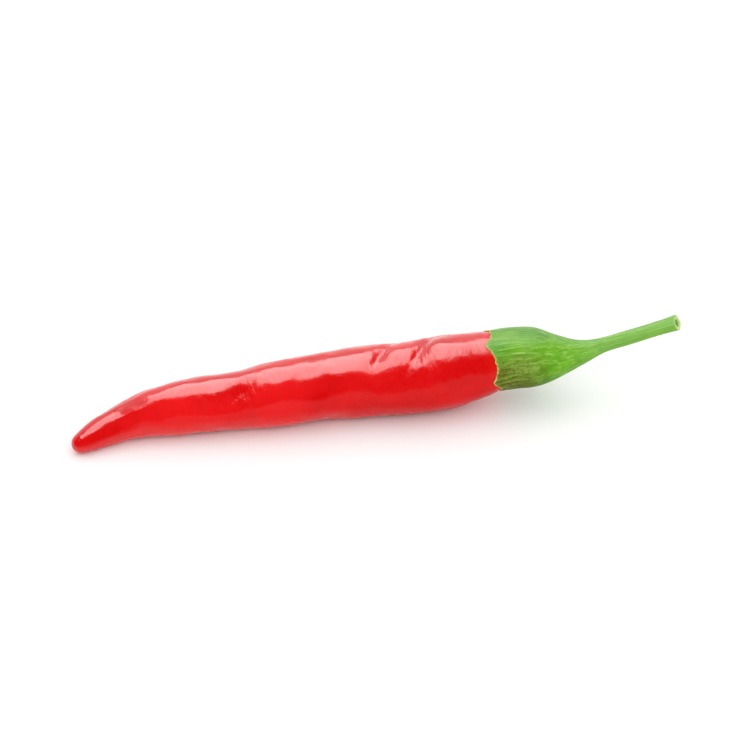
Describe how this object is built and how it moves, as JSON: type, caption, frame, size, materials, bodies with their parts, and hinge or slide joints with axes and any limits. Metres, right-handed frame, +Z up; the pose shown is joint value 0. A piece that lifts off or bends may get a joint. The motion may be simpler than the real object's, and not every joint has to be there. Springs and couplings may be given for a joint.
{
  "type": "chilli pepper",
  "caption": "Fresh red chilli pepper lying on its side: a slender, slightly bowed pod with a blunt tip, a green toothed calyx and a ribbed green stem.",
  "frame": {"origin": "on the table, under the middle of the pepper's box", "axes": "+X along the pepper's length, from the tip of the pod to the stem; +Z up from the table; +Y to the outside of the pepper's bow"},
  "size_m": [0.1258, 0.0212, 0.0188],
  "materials": {
    "red_skin": "glossy waxy skin, bright red, with soft lumps, creases and very fine cross wrinkles",
    "green_calyx": "satin leafy green with fine lengthwise veins, olive mottling and a pale thin rim"
  },
  "bodies": {
    "root": {"pod": "red_skin", "calyx_and_stem": "green_calyx"}
  },
  "joints": []
}
